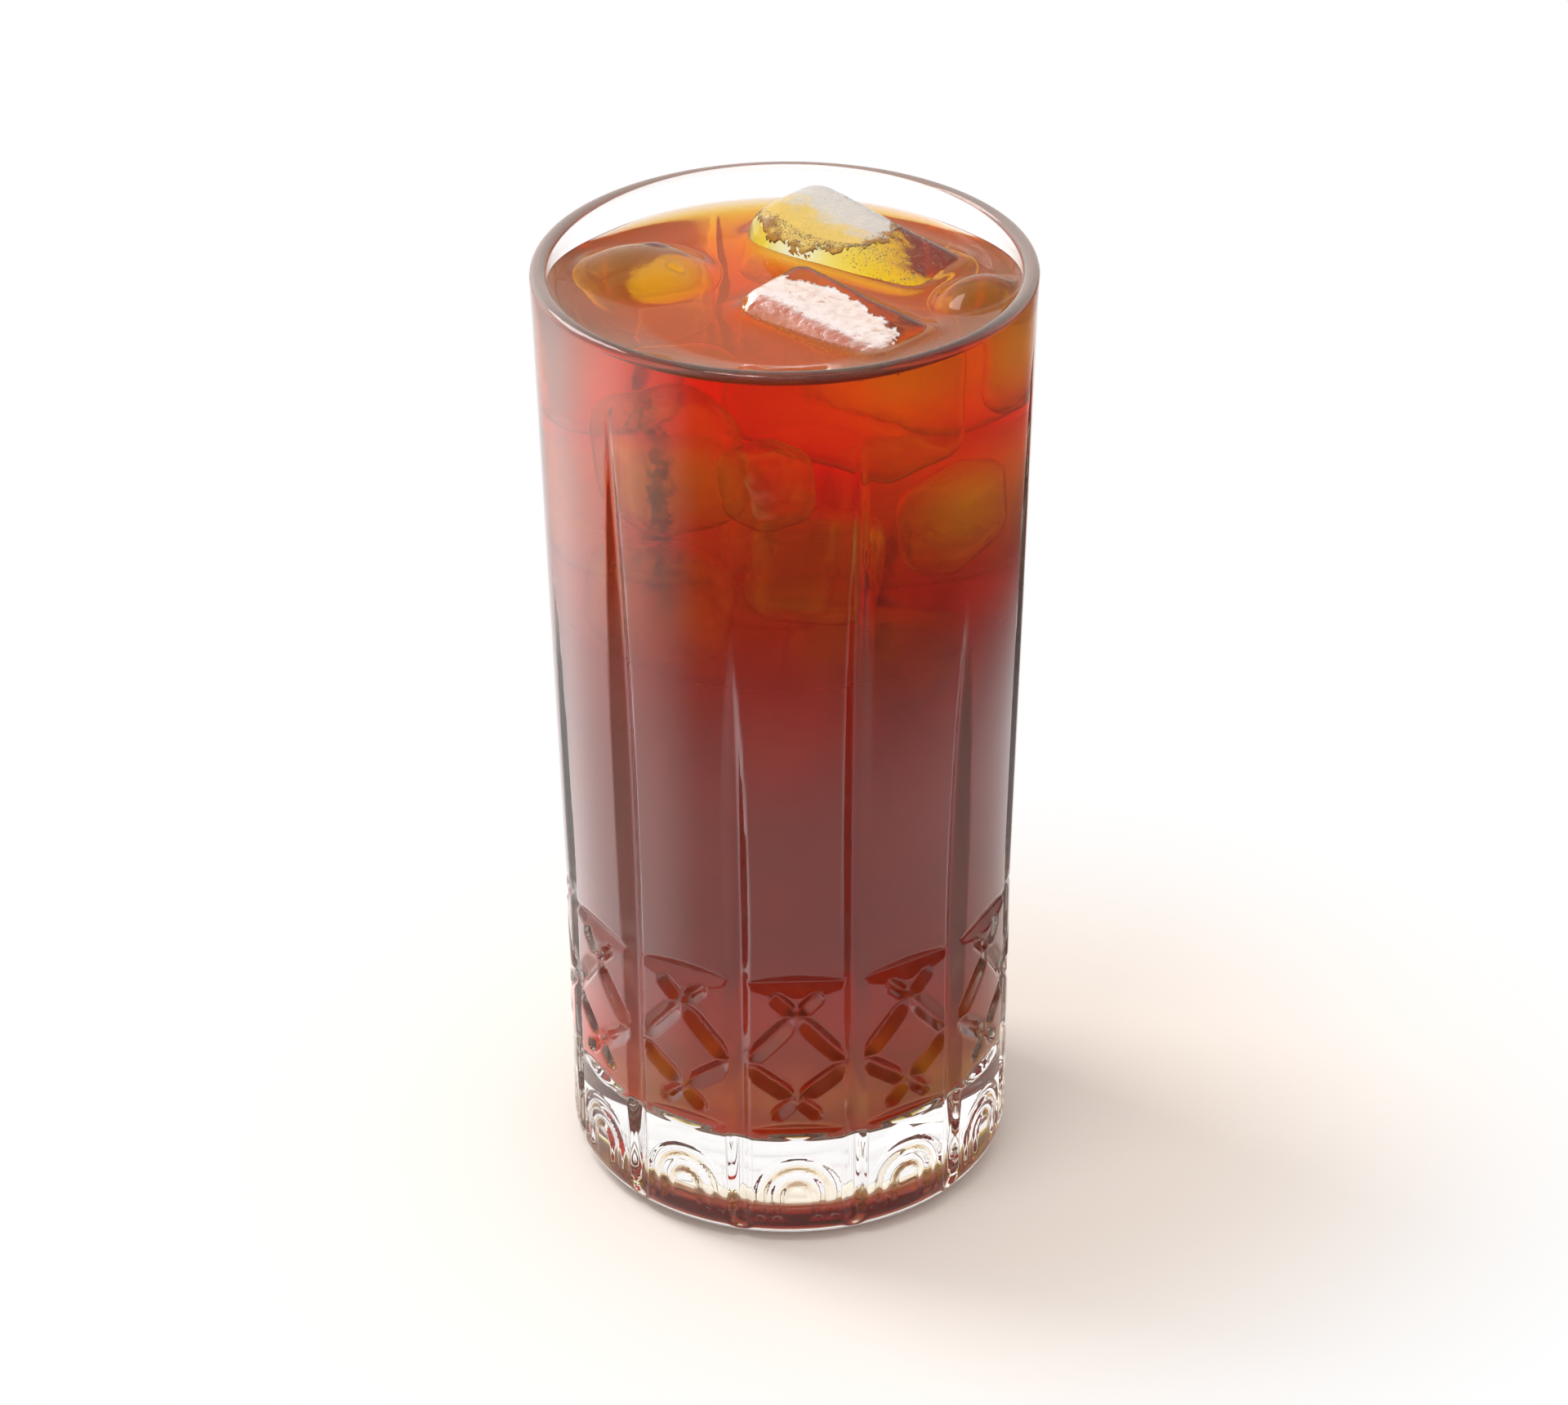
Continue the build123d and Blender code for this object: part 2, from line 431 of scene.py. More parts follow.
def buildTumbler():
    form = glassForm
    mesh = spunMesh("tumblerGlass", tumblerProfile(), form["columns"], cutForm["turn"])
    points = readPoints(mesh)
    radius = np.hypot(points[:, 0], points[:, 1])
    angle = np.arctan2(points[:, 1], points[:, 0])
    z = points[:, 2]
    midWall = innerRadius(z) + 0.5 * form["wall"][2]
    outside = radius > np.where(z < form["floor"], form["uncutUnder"], midWall)
    newRadius = cutRadius(angle[outside], z[outside], radius[outside])
    points[outside, 0] = newRadius * np.cos(angle[outside])
    points[outside, 1] = newRadius * np.sin(angle[outside])
    writePoints(mesh, points)
    normals = np.empty(len(mesh.vertices) * 3)
    mesh.vertices.foreach_get("normal", normals)
    normals = normals.reshape(-1, 3)
    aboveFoot, underRim = form["analytic"]
    exact = outside & (z > form["footRound"] + aboveFoot) & (z < form["height"] - underRim)
    normals[exact] = exactNormals(angle[exact], z[exact])
    mesh.normals_split_custom_set_from_vertices(normals.tolist())
    return mesh


glassLook = {
    "index": 1.5,
    "smears": (60, (1, 1, 0.4)),  # scale and stretch of a pattern
    "smearHaze": 0.012,
    "waves": (45, (1, 1, 0.6)),
    "waveBump": (0.25, 0.1),
    "rimHaze": 0.03,
    "rimHazeFrom": (148.2, 149.2),
    "rimPaintedSheen": 0.26,  # a pale diffuse share on the rounded rim: a painted sheen in place of its broad reflection
    "rimPaintedSheenFrom": (148.7, 149.7),
    "paintedSheenColor": (0.85, 0.76, 0.70, 1),
    "frontPaintedSheen": (-30.0, -8.0, 0.12),  # less so at the front, where the drink stands high against it
    "outside": 1.0,  # specular tint of the cut side, and of the side that the drink wets
    "wet": 0.06,
}


def glassMaterial(name, tint):
    look = glassLook
    material, tree, shader = nodeMaterial(name)
    _, y, z = axesOf(tree, objectCoords(tree))
    smears = patternRange(tree, objectPattern(tree, *look["smears"]), 0.0, look["smearHaze"])
    worn = ramped(tree, z, *inMetres(look["rimHazeFrom"]), 0.0, look["rimHaze"], "LINEAR")
    setInputs(tree, shader, {
        "Base Color": (1, 1, 1, 1),
        "Transmission Weight": 1,
        "IOR": look["index"],
        "Specular Tint": (tint, tint, tint, 1),
        "Roughness": calculated(tree, "ADD", smears, worn),
    })
    addBump(tree, shader, objectPattern(tree, *look["waves"]), *look["waveBump"])
    # the pale diffuse mixed in near the rim is a painted sheen, weaker at the front
    sheenByHeight = ramped(tree, z, *inMetres(look["rimPaintedSheenFrom"]), 0.0, look["rimPaintedSheen"], "LINEAR")
    start, end, least = look["frontPaintedSheen"]
    behind = ramped(tree, y, start * mm, end * mm, least, 1.0)
    rimSheenShare = calculated(tree, "MULTIPLY", sheenByHeight, behind)
    showSurface(tree, mixShaders(tree, rimSheenShare, shader.outputs["BSDF"], diffuse(tree, look["paintedSheenColor"])))
    return material


def wetInside(mesh):
    # the second material goes on the faces inside, from the floor up to the rim's round
    form = glassForm
    centres = np.empty(len(mesh.polygons) * 3)
    mesh.polygons.foreach_get("center", centres)
    centres = centres.reshape(-1, 3) / mm
    z = centres[:, 2]
    inside = np.hypot(centres[:, 0], centres[:, 1]) < innerRadius(z) + 0.4
    wet = inside & (z > form["floor"] - 0.5) & (z < form["height"] - form["rimRound"])
    mesh.polygons.foreach_set("material_index", wet.astype(np.int32))


# the ice: four blocks that stand out of the drink, and ten under it

iceForm = {
    "ice_back": {"size": (35.0, 18.5, 22.0), "edge": 5.2, "turns": (6, 7, -40), "seed": 1},
    "ice_front": {"size": (28.5, 15.5, 20.0), "edge": 3.8, "turns": (7, 2, -42), "seed": 2, "rise": 1.0},
    "ice_left": {"size": (20.0, 19.5, 23.0), "edge": 7.8, "turns": (4, -4, 24), "seed": 3},
    "ice_right": {"size": (11.5, 11.0, 17.0), "edge": 4.8, "turns": (5, 6, 10), "seed": 4},
}
sunkForm = [
    {"size": (19, 17, 21), "edge": 6.5, "turns": (6, -8, 20), "place": (-14.5, -15.0, 128.5), "seed": 11},
    {"size": (17, 15, 17), "edge": 5.0, "turns": (-6, 6, -5), "place": (3.5, -20.5, 114.0), "seed": 12},
    {"size": (26, 21, 21), "edge": 6.5, "turns": (8, 6, 12), "place": (16.5, 10.5, 110.5), "seed": 13},
    {"size": (24, 21, 22), "edge": 7.0, "turns": (-6, -7, -10), "place": (-13.5, 13.5, 110.0), "seed": 14},
    {"size": (19, 16, 19), "edge": 6.0, "turns": (10, 8, 25), "place": (-16.0, -12.5, 104.0), "seed": 15},
    {"size": (22, 17, 15), "edge": 5.5, "turns": (-7, 6, -20), "place": (11.0, -12.5, 95.0), "seed": 16},
    {"size": (25, 18, 15), "edge": 6.0, "turns": (6, -5, 8), "place": (0.0, 14.0, 90.0), "seed": 17},
    {"size": (13, 12, 20), "edge": 4.0, "turns": (3, 5, 5), "place": (-1.0, -3.5, 108.0), "seed": 18},
    {"size": (12, 12, 13), "edge": 4.5, "turns": (5, -6, 35), "place": (-2.5, -27.0, 129.5), "seed": 19},
    {"size": (12, 16, 15), "edge": 4.5, "turns": (4, -5, -28), "place": (20.5, -11.0, 117.0), "seed": 20},
]
wornForm = {
    "swell": 0.35,
    "swellSize": 9.0,
    "grain": 0.05,
    "grainSize": 1.6,
    "seedStep": 7.3,
    "pocketInset": 0.06,  # the drink reaches this far into the ice, so that no gap shows
    "detail": (6, 5),  # of the standing blocks and of the rest
    "halvings": 26,
}


def outsideBlock(points, size, edge):
    # distance from a round-edged block, below zero inside it
    gap = np.abs(points) - (np.array(size) / 2 - edge)
    return np.linalg.norm(np.clip(gap, 0, None), axis=1) + np.minimum(gap.max(axis=1), 0) - edge


def roundedPoints(directions, size, edge):
    low = np.zeros(len(directions))
    high = np.full(len(directions), np.linalg.norm(np.array(size) / 2))
    for _ in range(wornForm["halvings"]):
        middle = (low + high) / 2
        within = outsideBlock(directions * middle[:, None], size, edge) < 0
        low = np.where(within, middle, low)
        high = np.where(within, high, middle)
    return directions * low[:, None]


def iceTurn(form):
    x, y, z = (math.radians(a) for a in form["turns"])
    return Matrix.Rotation(x, 3, "X") @ Matrix.Rotation(y, 3, "Y") @ Matrix.Rotation(z, 3, "Z")


def wornBlock(name, form, inset, detail):
    bm = bmesh.new()
    bmesh.ops.create_icosphere(bm, subdivisions=detail, radius=1)
    mesh = meshFrom(name, bm)
    directions = readPoints(mesh)
    directions /= np.linalg.norm(directions, axis=1)[:, None]
    size = [side - 2 * inset for side in form["size"]]
    points = roundedPoints(directions, size, form["edge"] - inset)
    shift = Vector((form["seed"] * wornForm["seedStep"], 0, 0))
    swell = [noise.noise(Vector(p) / wornForm["swellSize"] + shift) for p in points]
    grain = [noise.noise(Vector(p) / wornForm["grainSize"] - shift) for p in points]
    worn = wornForm["swell"] * (np.array(swell) - 0.5) + wornForm["grain"] * np.array(grain)
    writePoints(mesh, points + directions * worn[:, None])
    return mesh


def placeMatrix(form, place):
    return Matrix.Translation(Vector(place) * mm) @ iceTurn(form).to_4x4()


def iceMesh(name, form, place, inset, detail):
    mesh = wornBlock(name, form, inset, detail)
    mesh.transform(placeMatrix(form, place))
    return mesh


def blockCentre(node):
    low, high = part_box(node)
    return (low + high) / 2 / mm + Vector((0, 0, iceForm[node].get("rise", 0)))


iceLook = {
    "wetIce": {"index": 1.31, "haze": (0.0, 0.06)},
    "cloudyIce": {"index": 1.326, "haze": (0.03, 0.10)},
    "cloudScale": 140,
    "rippleScale": 420,
    "rippleBump": (0.35, 0.2),
}


def iceMaterial(name):
    look = iceLook[name]
    material, tree, shader = nodeMaterial(name)
    setInputs(tree, shader, {
        "Base Color": (1, 1, 1, 1),
        "Transmission Weight": 1,
        "IOR": look["index"],
        "Roughness": patternRange(tree, objectPattern(tree, iceLook["cloudScale"]), *look["haze"]),
    })
    addBump(tree, shader, objectPattern(tree, iceLook["rippleScale"]), *iceLook["rippleBump"])
    return material


# frost skins, bubbles and grains on the two blocks that stand out; places are in the block's own frame

frostForm = {
    "ice_back": {"middle": (-8.0, 0.0), "half": (11.2, 8.8), "above": 7.6},
    "ice_front": {"middle": (-1.0, -3.4), "half": (13.5, 6.4), "above": 7.2},
    "lift": 0.04,
    "thick": 0.1,
    "ragged": ((0.16, 2.2), (0.10, 0.7)),  # depth and size of the notches in a skin's edge
}
# the tinted colour of each frost patch is a painted glow: yellow-orange along one side, where light comes
# up through the ice from the drink
frostLook = {
    "ice_back": {
        "middle": (-8.0, 0.0), "half": (11.0, 8.6),
        "pale": (0.86, 0.82, 0.80), "paintedGlow": (0.97, 0.70, 0.20), "around": (0.66, 0.36, 0.10),
        "paintedGlowAlong": (5.5, 0.0), "clear": (0.7, 0.4), "bumpScale": 620,
    },
    "ice_front": {
        "middle": (-1.0, -3.4), "half": (13.5, 6.4),
        "pale": (0.90, 0.52, 0.42), "paintedGlow": (0.90, 0.38, 0.14), "around": (0.85, 0.32, 0.12),
        "paintedGlowAlong": (-2.0, 4.5), "clear": (0.93, 0.74), "bumpScale": 760,
    },
    "index": 1.31,
    "cloud": (420, 5.0),  # scale and detail
    "crackleDetail": 3.0,
    "edgeRagged": 0.55,
    "edge": (1.29, 1.17),
    "paintedGlowWobble": 0.008,
    "shade": 0.86,
    "rough": (0.1, 0.4),
    "bump": (0.45, 0.4),
}
bubbleForm = {
    "ice_back": [
        {"count": 900, "along": (1, 15), "across": (-7.5, 8), "size": (0.06, 0.17), "sink": 0.1},
    ],
    "ice_front": [
        {"count": 260, "along": (-12, 12), "across": (-10, 4), "size": (0.05, 0.15), "sink": -0.1},
    ],
}
# a region with a middle and a half follows the patch's near edge
grainForm = [
    {"count": 1500, "along": (-17.5, 2.5), "middle": (-8.0, 0.0), "half": (11.0, 8.2),
     "size": (0.05, 0.13), "sink": 0.2},
    {"count": 90, "along": (-12, 3), "across": (5.5, 8.5), "size": (0.05, 0.12), "sink": 0.2},
]
beadForm = {"above": 40.0, "edgeBand": (0.8, 1.04), "smallness": 3, "detail": 1}
beadLook = {
    "airBubble": {"color": (0.98, 0.90, 0.80), "clear": 0.85, "rough": 0.08},
    "darkGrain": {"color": (0.44, 0.31, 0.20), "clear": 0.2, "rough": 0.35},
    "index": 1.31,
    "toneScale": 900,
    "shade": 0.6,
}


def frostSkin(name, node, place):
    form, block = frostForm[node], iceForm[node]
    mesh = wornBlock(name, block, -frostForm["lift"], wornForm["detail"][0])
    bm = bmesh.new()
    bm.from_mesh(mesh)
    middle, half = form["middle"], form["half"]
    bare = []
    for face in bm.faces:
        spot = face.calc_center_median() / mm
        ragged = sum(depth * noise.noise(spot / size) for depth, size in frostForm["ragged"])
        reach = math.hypot((spot.x - middle[0]) / half[0], (spot.y - middle[1]) / half[1])
        if spot.z < form["above"] or reach > 1 + ragged:
            bare.append(face)
    bmesh.ops.delete(bm, geom=bare, context="FACES")
    bmesh.ops.solidify(bm, geom=bm.faces, thickness=frostForm["thick"] * mm)
    bmesh.ops.recalc_face_normals(bm, faces=bm.faces)
    bm.transform(placeMatrix(block, place))
    bm.to_mesh(mesh)
    bm.free()
    mesh.shade_smooth()
    return mesh


def edgeBand(u, region):
    middle, half = region["middle"], region["half"]
    share = max(0.0, 1 - ((u - middle[0]) / half[0]) ** 2)
    return middle[1] - half[1] * math.sqrt(share) * random.uniform(*beadForm["edgeBand"])


def beadMesh(name, node, place, regions):
    block = wornBlock("bead", iceForm[node], 0.0, wornForm["detail"][1])
    ground = BVHTree.FromPolygons([v.co for v in block.vertices], [p.vertices for p in block.polygons])
    bm = bmesh.new()
    for region in regions:
        small, large = region["size"]
        for _ in range(region["count"]):
            u = random.uniform(*region["along"])
            v = random.uniform(*region["across"]) if "across" in region else edgeBand(u, region)
            hit, _, _, _ = ground.ray_cast(Vector((u, v, beadForm["above"])) * mm, Vector((0, 0, -1)))
            if hit is None:
                continue
            size = small + (large - small) * random.random() ** beadForm["smallness"]
            spot = Matrix.Translation(hit + Vector((0, 0, region["sink"] * size * mm)))
            bmesh.ops.create_icosphere(bm, subdivisions=beadForm["detail"], radius=size * mm, matrix=spot)
    bm.transform(placeMatrix(iceForm[node], place))
    return meshFrom(name, bm)


def patchShare(tree, own, patch, cloud):
    # one inside the pale patch, nothing outside it, with a ragged edge between
    middle, half = patch["middle"], patch["half"]
    zone = mapped(tree, own, "TEXTURE", place=(middle[0] * mm, middle[1] * mm, 0),
                  scale=(half[0] * mm, half[1] * mm, 1))
    ragged = calculated(tree, "MULTIPLY_ADD", cloud, frostLook["edgeRagged"], vectorLength(tree, zone))
    return ramped(tree, ragged, *frostLook["edge"])


def frostMaterial(name, node, place):
    look, patch = frostLook, frostLook[node]
    material, tree, shader = nodeMaterial(name)
    own = mapped(tree, objectCoords(tree), "TEXTURE", place=Vector(place) * mm,
                 turn=iceTurn(iceForm[node]).to_euler())
    cloudScale, cloudDetail = look["cloud"]
    cloud = objectPattern(tree, cloudScale, detail=cloudDetail)
    inner = patchShare(tree, own, patch, cloud)
    _, y, _ = axesOf(tree, own)
    # painted glow: the patch turns yellow-orange along one side, standing in for light coming through the
    # ice from below
    wobble = calculated(tree, "MULTIPLY_ADD", cloud, look["paintedGlowWobble"], y)
    tint = ramped(tree, wobble, *inMetres(patch["paintedGlowAlong"]))
    shades = {}
    for tone in ("pale", "paintedGlow", "around"):
        darker = [look["shade"] * c for c in patch[tone]]
        shades[tone] = blend(tree, cloud, (*patch[tone], 1), (*darker, 1))
    patchColor = blend(tree, tint, shades["pale"], shades["paintedGlow"])
    crackle = objectPattern(tree, patch["bumpScale"], detail=look["crackleDetail"])
    setInputs(tree, shader, {
        "IOR": look["index"],
        "Base Color": blend(tree, inner, shades["around"], patchColor),
        "Transmission Weight": ramped(tree, inner, 0.0, 1.0, *patch["clear"], "LINEAR"),
        "Roughness": patternRange(tree, crackle, *look["rough"]),
    })
    addBump(tree, shader, crackle, *look["bump"])
    return material


def beadMaterial(name):
    look = beadLook[name]
    material, tree, shader = nodeMaterial(name)
    tone = objectPattern(tree, beadLook["toneScale"])
    darker = [beadLook["shade"] * c for c in look["color"]]
    setInputs(tree, shader, {
        "Transmission Weight": look["clear"],
        "IOR": beadLook["index"],
        "Base Color": blend(tree, tone, (*darker, 1), (*look["color"], 1)),
        "Roughness": patternRange(tree, tone, 0.5 * look["rough"], 1.5 * look["rough"]),
    })
    return material


# the drink: a spun body that reaches just into the glass, with pockets cut for the ice

coffeeForm = {
    "level": 144.0,
    "intoWall": 0.08,
    "climb": 0.9,  # how far the coffee climbs the wall
    "climbWidth": 0.9,
    "columns": 300,
    "ringSteps": (0.2, 0.42),  # between the surface's rings: near the wall, and further in
    "nearWall": 5.0,
    "blockClimb": 0.7,
    "blockClimbWidth": 1.2,
    "domes": (
        # centre, half lengths, turn, apex height, cap radius
        ((-20.6, 8.9), (10.6, 10.0), 24, 147.6, 16.0),
        ((27.4, -1.0), (6.0, 5.8), 10, 146.6, 8.0),
    ),
    "domeEnd": 0.98,  # share of the cap's radius at which a dome turns into a straight slope
    "domeSlope": 3.0,
    "domeBlend": 1.6,
    # at the front the drink stands higher against the glass
    "frontRise": 3.4,
    "frontReach": 13.0,
    "frontCurve": 1.15,
    "frontSpread": (70.0, 135.0),  # full within the first angle from the front, gone at the second
    "sharpFrom": 50.0,
}


def coffeeProfile():
    form = coffeeForm
    extra = form["intoWall"]
    bottom = glassForm["floor"] - extra
    floorRadius = float(innerRadius(glassForm["floor"])) + extra
    fillet = glassForm["floorFillet"]
    wallRows = [z for z in reversed(glassForm["innerRows"]) if z <= form["level"]]
    points = [(r, bottom) for r in reversed(glassForm["floorRings"])]
    points += arcPoints((floorRadius - fillet, bottom + fillet), fillet, -90, 0, glassForm["arcSteps"][1])
    points += [(float(innerRadius(z)) + extra, z) for z in wallRows]
    edge = float(innerRadius(form["level"] + form["climb"])) + extra
    fine, coarse = form["ringSteps"]
    reach = 0.0
    while reach < edge - 0.5:
        lift = form["climb"] * math.exp(-reach / form["climbWidth"])
        points.append((edge - reach, form["level"] + lift))
        reach += fine if reach < form["nearWall"] else coarse
    points.append((0, form["level"]))
    return points


def climbBlocks(surface):
    form = coffeeForm
    for node in ("ice_back", "ice_front"):
        block = iceForm[node]
        local = (surface - np.array(blockCentre(node))) @ np.array(iceTurn(block))
        distance = np.clip(outsideBlock(local, block["size"], block["edge"]), 0, None)
        surface[:, 2] += form["blockClimb"] * np.exp(-distance / form["blockClimbWidth"])


def raiseDomes(surface):
    form = coffeeForm
    for centre, halves, turn, apex, cap in form["domes"]:
        c, s = math.cos(math.radians(turn)), math.sin(math.radians(turn))
        dx, dy = surface[:, 0] - centre[0], surface[:, 1] - centre[1]
        away = np.hypot((dx * c + dy * s) / halves[0], (dy * c - dx * s) / halves[1]) * halves[0]
        end = cap * form["domeEnd"]
        reach = np.clip(away, 0, end)
        dome = apex - cap + np.sqrt(cap * cap - reach * reach)
        dome -= form["domeSlope"] * np.clip(away - end, 0, None)
        surface[:, 2] = smoothMax(surface[:, 2], dome, form["domeBlend"])


def raiseFront(surface):
    form = coffeeForm
    radius = np.hypot(surface[:, 0], surface[:, 1])
    fromFront = np.degrees(np.abs(np.arctan2(surface[:, 0], -surface[:, 1])))
    full, gone = form["frontSpread"]
    share = smoothStep((gone - fromFront) / (gone - full))
    inward = innerRadius(surface[:, 2]) - radius
    atWall = inward < 0.02
    inward = np.clip(inward, 0, None)
    wedge = np.clip(1 - inward / form["frontReach"], 0, None) ** form["frontCurve"]
    surface[:, 2] += form["frontRise"] * share * wedge
    wallRadius = innerRadius(surface[:, 2]) + form["intoWall"]
    stretch = np.where(atWall, wallRadius / np.maximum(radius, 1), 1.0)
    surface[:, :2] *= stretch[:, None]


def liftSurface(mesh):
    points = readPoints(mesh)
    top = points[:, 2] > coffeeForm["level"] - 0.01
    surface = points[top]
    climbBlocks(surface)
    raiseDomes(surface)
    raiseFront(surface)
    points[top] = surface
    writePoints(mesh, points)


def joinedMesh(name, meshes):
    bm = bmesh.new()
    for mesh in meshes:
        bm.from_mesh(mesh)
    return meshFrom(name, bm)


def carve(mesh, pockets):
    whole = bpy.data.objects.new("uncut", mesh)
    tool = bpy.data.objects.new("pockets", pockets)
    bpy.context.scene.collection.objects.link(whole)
    bpy.context.scene.collection.objects.link(tool)
    cut = whole.modifiers.new("cut", "BOOLEAN")
    cut.operation = "DIFFERENCE"
    cut.solver = "MANIFOLD"
    cut.object = tool
    depsgraph = bpy.context.evaluated_depsgraph_get()
    carved = bpy.data.meshes.new_from_object(whole.evaluated_get(depsgraph))
    bpy.data.objects.remove(whole)
    bpy.data.objects.remove(tool)
    carved.materials.clear()
    return carved


def buildCoffee(pockets):
    body = spunMesh("coffeeBody", coffeeProfile(), coffeeForm["columns"])
    liftSurface(body)
    mesh = carve(body, joinedMesh("pockets", pockets))
    mesh.name = "coffeeLiquid"
    mesh.shade_smooth()
    mesh.set_sharp_from_angle(angle=math.radians(coffeeForm["sharpFrom"]))
    return mesh


coffeeLook = {
    "index": 1.33,
    "tint": 0.8,
    "ripple": (90, 0.12, 0.2),  # scale, strength and height
    # the wall side lies just inside the glass: its radius grows with height
    "wallLean": 0.026,
    "wallEdge": (30.25, 30.42),
    "haze": (118.0, 88.0, 0.102, 0.34),  # from the first height down to the second
    "cloud": (38, (1, 1, 0.6)),
    "cloudLift": 11.0,  # soft clouds move the heights up and down, so that no level band shows
    "glancing": (0.54, 0.44),  # where the glass wall begins to mirror, the scattered light and the painted glow fade out
    "absorbed": (0.994, 0.888, 0.077, 1),
    "density": 650,
}
# the light that the drink's fine grounds scatter, with painted glow: brighter orange near the glass's
# floor, over the sunk ice and on the domes, where light comes through; height, colour, and how much of it
# hides what lies behind
scatterAndPaintedGlow = {
    "side": [
        (17.0, (0.76, 0.036, 0.003), 0.86),
        (26.0, (0.40, 0.034, 0.004), 0.66),
        (48.0, (0.18, 0.034, 0.010), 0.56),
        (84.0, (0.21, 0.036, 0.009), 0.62),
        (97.0, (0.40, 0.052, 0.008), 0.45),
        (108.0, (0.80, 0.110, 0.007), 0.22),
        (122.0, (0.95, 0.220, 0.008), 0.12),
        (144.0, (0.95, 0.230, 0.008), 0.08),
    ],
    "inside": [
        (80.0, (0.70, 0.10, 0.01), 0.04),
        (134.0, (0.95, 0.30, 0.02), 0.10),
        (146.0, (0.97, 0.38, 0.02), 0.20),
    ],
    "top": [
        (144.0, (0.78, 0.165, 0.036), 0.36),
        (145.0, (0.80, 0.24, 0.045), 0.22),
        (147.5, (0.85, 0.38, 0.06), 0.12),
    ],
}


def heightRamp(tree, height, stops):
    low, high = stops[0][0], stops[-1][0]
    ramp = tree.nodes.new("ShaderNodeValToRGB")
    bands = ramp.color_ramp.elements
    for number, (z, color, share) in enumerate(stops):
        place = (z - low) / (high - low)
        # a new ramp already has two bands
        band = bands[number] if number < 2 else bands.new(place)
        band.position = place
        band.color = (*color, share)
    feed(tree, ramp.inputs["Fac"], ramped(tree, height, low * mm, high * mm, kind="LINEAR"))
    return ramp.outputs["Color"], ramp.outputs["Alpha"]


def coffeeZones(tree):
    # masks for the side that meets the glass and for the surface; the rest is the pockets' walls
    look = coffeeLook
    coords = objectCoords(tree)
    _, _, z = axesOf(tree, coords)
    reach = vectorLength(tree, mapped(tree, coords, scale=(1, 1, 0)))
    outward = calculated(tree, "MULTIPLY_ADD", z, -look["wallLean"], reach)
    side = ramped(tree, outward, *inMetres(look["wallEdge"]), kind="LINEAR")
    high = calculated(tree, "GREATER_THAN", z, (coffeeForm["level"] - 0.02) * mm)
    top = calculated(tree, "SUBTRACT", high, side, clamp=True)
    return z, side, top


def coffeeMaterial():
    look = coffeeLook
    material, tree, shader = nodeMaterial("coffeeLiquid")
    z, side, top = coffeeZones(tree)
    facing = tree.nodes.new("ShaderNodeLayerWeight").outputs["Facing"]
    straight = calculated(tree, "MAXIMUM", ramped(tree, facing, *look["glancing"]), top)
    start, end, least, most = look["haze"]
    under = ramped(tree, z, start * mm, end * mm, least, most)
    onWall = calculated(tree, "MULTIPLY", under, calculated(tree, "SUBTRACT", side, top, clamp=True))
    setInputs(tree, shader, {
        "Base Color": (1, 1, 1, 1),
        "Transmission Weight": 1,
        "IOR": look["index"],
        "Specular Tint": (look["tint"], look["tint"], look["tint"], 1),
        "Roughness": calculated(tree, "MULTIPLY", onWall, straight),
    })
    rippleScale, rippleStrength, rippleHeight = look["ripple"]
    addBump(tree, shader, objectPattern(tree, rippleScale), rippleStrength, rippleHeight)
    lift = look["cloudLift"] * mm
    cloud = patternRange(tree, objectPattern(tree, *look["cloud"]), -lift, lift)
    # the diffuse colours by height are partly the drink's own scatter and partly painted glow where light
    # comes through the ice and the glass's floor
    sideLight = heightRamp(tree, calculated(tree, "ADD", z, cloud), scatterAndPaintedGlow["side"])
    insideLight = heightRamp(tree, z, scatterAndPaintedGlow["inside"])
    topLight = heightRamp(tree, z, scatterAndPaintedGlow["top"])
    color, share = (
        blend(tree, top, blend(tree, side, inside, outside, kind), above, kind)
        for inside, outside, above, kind in zip(insideLight, sideLight, topLight, ("RGBA", "FLOAT"))
    )
    shown = calculated(tree, "MULTIPLY", share, straight)
    showSurface(tree, mixShaders(tree, shown, shader.outputs["BSDF"], diffuse(tree, color)))
    absorb = tree.nodes.new("ShaderNodeVolumeAbsorption")
    setInputs(tree, absorb, {"Color": look["absorbed"], "Density": look["density"]})
    tree.links.new(absorb.outputs["Volume"], tree.nodes["Material Output"].inputs["Volume"])
    return material


# the floor, the world and the lamps

stageForm = {
    "below": 0.05,  # the floor lies this far under the foot
    "radius": 1600.0,
    "sides": 96,
    "tone": (0.955, 0.875, 0.815, 1),
    # outside this oval the table shows as plain white; metres, and shares of the oval
    "oval": ((0.02, 0.0, 0.0), (0.125, 0.105, 1.0)),
    "ovalFade": (0.35, 1.0),
    # in reflections only, it is dim far off in front and to the right, and bright to the left
    "distant": (135.0, 215.0),
    "ahead": (-0.1, -0.5),
    "beside": (0.3, 0.7),
    "nearAndFar": (1.15, 0.12),
    "left": (-0.6, -0.95, 0.0, 1.2),
}
worldForm = {
    "soft": ((1.0, 0.955, 0.91, 1), 0.82),  # colour and strength of the light on matt surfaces
    "mirrored": (1, 0.99, 0.98, 1),
    "back": (-0.1, 0.5, 0.08, 1.0),  # reflections are dark in front and bright behind
    "left": (-0.35, -0.85, 0.0, 1.3),
    "overhead": (0.35, 0.85, 1.0, 0.6),
}
lampForm = {
    "key": {"place": (-420, 220, 500), "aim": (0, 0, 70), "size": (240, 340), "power": 2.2},
    "top": {"place": (-150, -200, 700), "aim": (0, 0, 140), "size": (200, 35), "power": 0.8},
}


